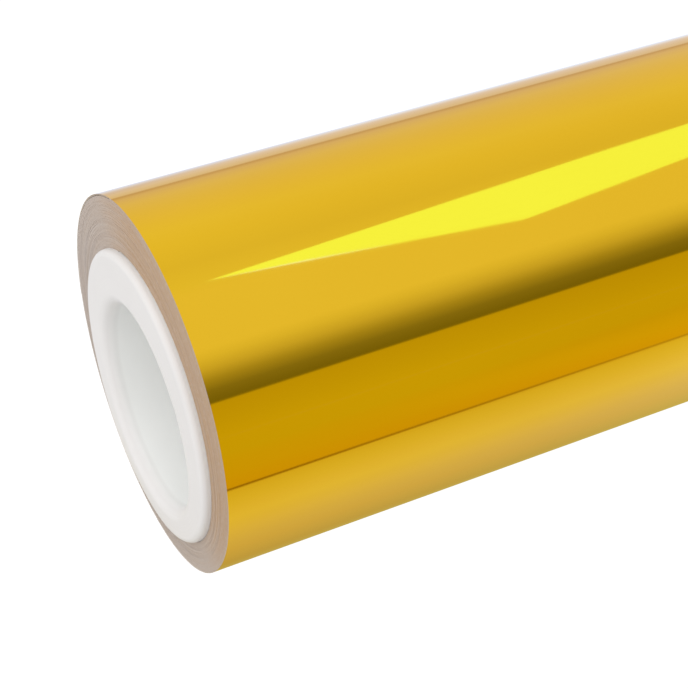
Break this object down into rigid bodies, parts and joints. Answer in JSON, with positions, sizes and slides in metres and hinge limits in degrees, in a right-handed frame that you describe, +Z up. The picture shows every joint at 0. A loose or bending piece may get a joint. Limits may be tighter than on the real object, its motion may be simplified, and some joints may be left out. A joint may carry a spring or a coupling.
{
  "type": "sign vinyl roll",
  "caption": "Roll of mirror gold sign vinyl on a thick white plastic core, with a loose tail that lifts off the roll and a film tip that peels from its liner.",
  "frame": {"origin": "on the axis of the core's bore, halfway along the roll", "axes": "+X along the roll's axis, away from the end the picture shows; +Z up; -Y is the side the picture shows"},
  "size_m": [0.616, 0.141, 0.1408],
  "materials": {
    "core_plastic": "white moulded plastic, satin, cut ends",
    "gold_film": "mirror gold metallised film",
    "liner_paper": "smooth coated release paper",
    "wound_edge": "edges of many turns of film and liner",
    "tab_tape": "translucent matt tape",
    "start_tape": "double-sided tape"
  },
  "bodies": {
    "root": {"core_tube": "core_plastic", "start_tape": "start_tape", "wound_pack": "wound_edge", "liner_outer_turn": "liner_paper", "film_outer_turn": "gold_film"},
    "tail_1": {"liner_tail_1": "liner_paper", "film_tail_1": "gold_film"},
    "tail_2": {"liner_tail_2": "liner_paper", "film_tail_2": "gold_film"},
    "tail_3": {"liner_tail_3": "liner_paper", "film_tail_3": "gold_film"},
    "tail_4": {"liner_tail_4": "liner_paper", "film_tail_4": "gold_film"},
    "tip": {"film_tip": "gold_film", "tail_tab_near": "tab_tape", "tail_tab_middle": "tab_tape", "tail_tab_far": "tab_tape"}
  },
  "joints": [
    {"name": "tail_lift", "type": "hinge", "parent": "root", "child": "tail_1", "pos_m": [0, 0.02411, 0.07605], "axis": [1, 0, 0], "range_deg": [0, 20]},
    {"name": "tail_bend_2", "type": "hinge", "parent": "tail_1", "child": "tail_2", "pos_m": [0, 0.04045, 0.06754], "axis": [1, 0, 0], "range_deg": [0, 20]},
    {"name": "tail_bend_3", "type": "hinge", "parent": "tail_2", "child": "tail_3", "pos_m": [0, 0.05404, 0.05509], "axis": [1, 0, 0], "range_deg": [0, 20]},
    {"name": "tail_bend_4", "type": "hinge", "parent": "tail_3", "child": "tail_4", "pos_m": [0, 0.06394, 0.03956], "axis": [1, 0, 0], "range_deg": [0, 20]},
    {"name": "film_peel", "type": "hinge", "parent": "tail_4", "child": "tip", "pos_m": [0, 0.06948, 0.02199], "axis": [1, 0, 0], "range_deg": [0, 60]}
  ],
  "couplings": [
    {"joint": "tail_bend_2", "follows": "tail_lift", "ratio": 1},
    {"joint": "tail_bend_3", "follows": "tail_lift", "ratio": 1},
    {"joint": "tail_bend_4", "follows": "tail_lift", "ratio": 1}
  ]
}
